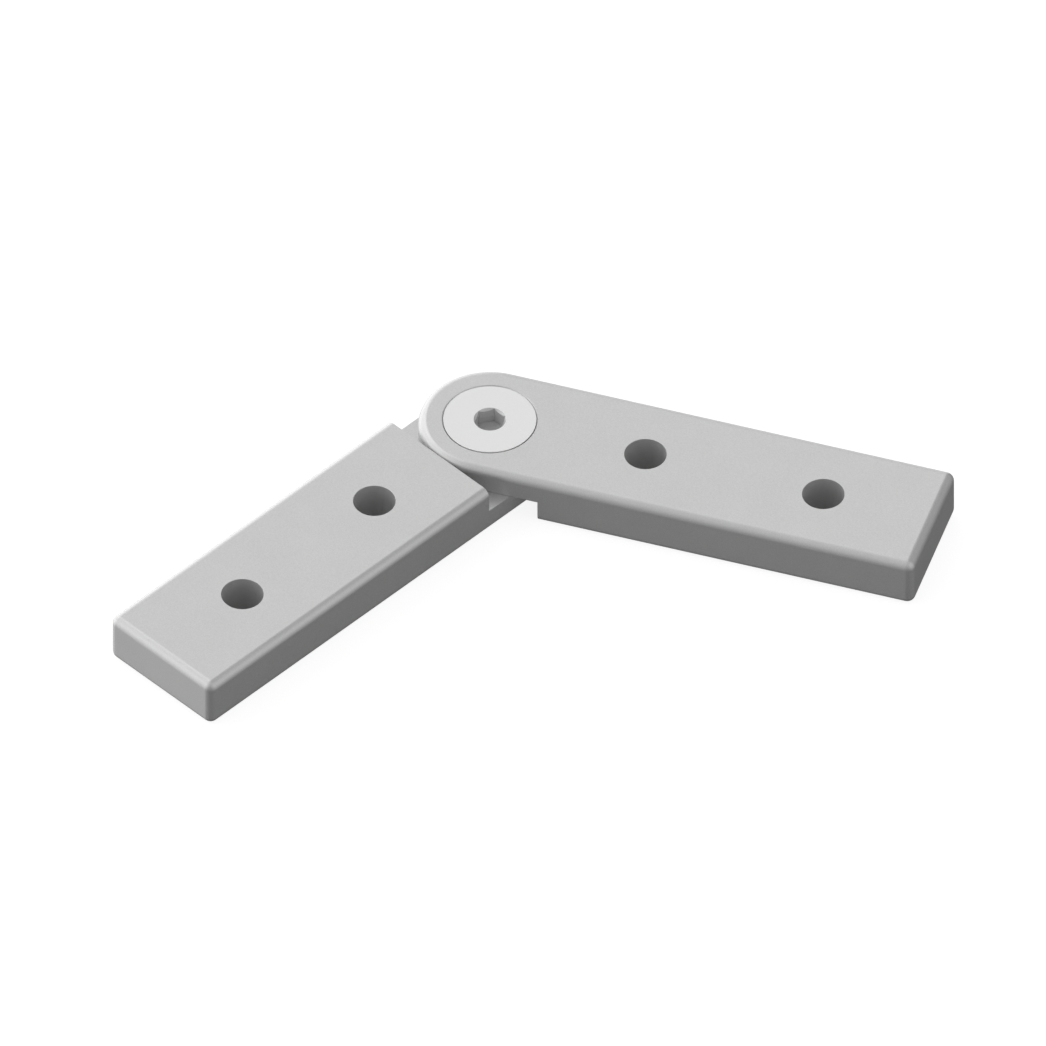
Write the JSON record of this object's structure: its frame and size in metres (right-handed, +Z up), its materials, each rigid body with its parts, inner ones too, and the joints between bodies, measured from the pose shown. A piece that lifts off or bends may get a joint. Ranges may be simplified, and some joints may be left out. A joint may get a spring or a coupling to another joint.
{
  "type": "adjustable handrail connector",
  "caption": "Flat bar connector for handrails: arms lapped on a flush countersunk socket screw turn to set the bend, with plain fixing holes along each arm.",
  "frame": {"origin": "on the pivot axis, in the plane of the arms' undersides", "axes": "+Z up along the pivot axis, towards the screw's head; the lower arm lies along -X, and the upper arm is turned from +X towards -Y by the bend"},
  "size_m": [0.1272, 0.0885, 0.0095],
  "materials": {
    "satin_steel": "even, fine satin, with no grain direction",
    "bright_steel": "smooth, brighter than the arms"
  },
  "bodies": {
    "lower_arm": {"lower_arm": "satin_steel"},
    "upper_arm": {"upper_arm": "satin_steel"},
    "pivot_screw": {"pivot_screw": "bright_steel"}
  },
  "joints": [
    {"name": "arm_pivot", "type": "hinge", "parent": "lower_arm", "child": "upper_arm", "pos_m": [0, 0, 0], "axis": [0, 0, 1], "range_deg": [-27.4, 152.6]},
    {"name": "screw_turn", "type": "hinge", "parent": "lower_arm", "child": "pivot_screw", "pos_m": [0, 0, 0], "axis": [0, 0, 1], "range_deg": [0, 180]}
  ]
}
